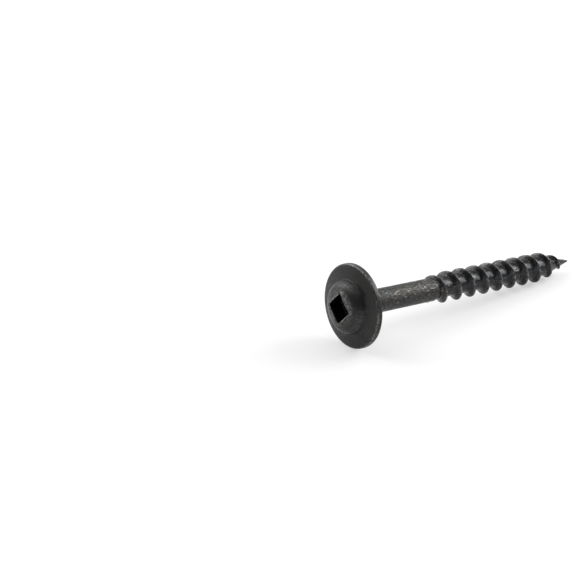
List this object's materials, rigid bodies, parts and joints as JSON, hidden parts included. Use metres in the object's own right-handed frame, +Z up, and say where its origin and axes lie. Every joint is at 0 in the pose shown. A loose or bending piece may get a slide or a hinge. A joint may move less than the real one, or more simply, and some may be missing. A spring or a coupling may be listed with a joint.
{
  "type": "washer head wood screw",
  "caption": "Black wood screw with a washer head, square drive recess, plain upper shank, coarse right-hand thread and sharp point.",
  "frame": {"origin": "on the surface that the screw lies on, under the middle of the screw's length and width", "axes": "+Z up from that surface, +X along the screw from head to point, whose axis dips about 6 degrees towards the point, +Y across it"},
  "size_m": [0.044, 0.0114, 0.0114],
  "materials": {
    "black_steel": "black phosphate and oil, satin"
  },
  "bodies": {
    "root": {"screw": "black_steel"}
  },
  "joints": []
}
